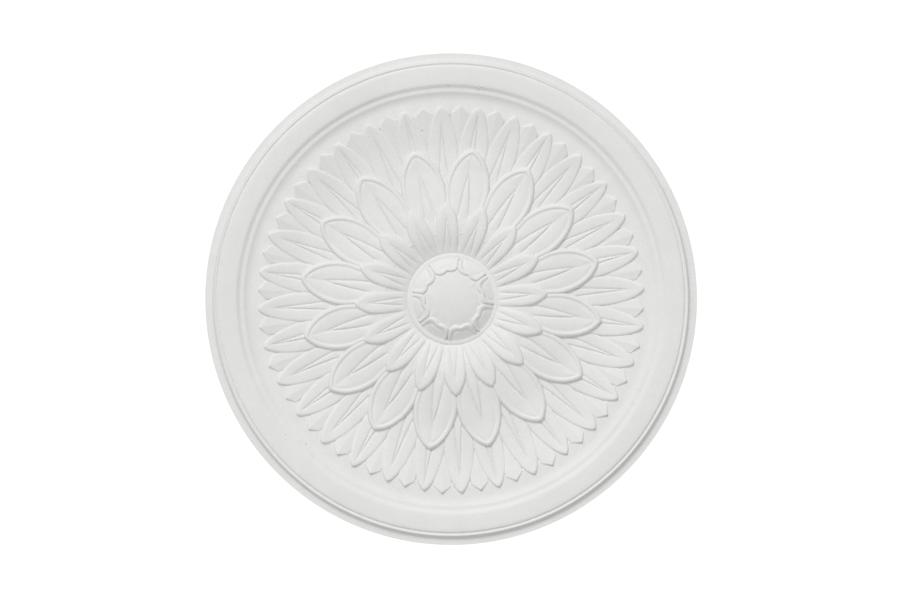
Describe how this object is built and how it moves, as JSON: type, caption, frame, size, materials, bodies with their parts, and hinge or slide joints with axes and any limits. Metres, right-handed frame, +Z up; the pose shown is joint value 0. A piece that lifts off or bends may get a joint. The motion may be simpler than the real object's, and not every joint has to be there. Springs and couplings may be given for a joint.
{
  "type": "ceiling rose",
  "caption": "Round plaster ceiling rose with a moulded rim, overlapping tiers of petals and a domed, scalloped button in the middle.",
  "frame": {"origin": "centre of the flat back, where it meets the ceiling", "axes": "+Z points up into the ceiling, out of the flat back; the rose hangs below it with its petals facing -Z; -Y is the top of the rose as it is seen from below with +X to the right"},
  "size_m": [0.5999, 0.6, 0.0295],
  "materials": {
    "plaster": "matte cast gypsum plaster, unpainted, fine grained"
  },
  "bodies": {
    "root": {"ceiling_rose": "plaster"}
  },
  "joints": []
}
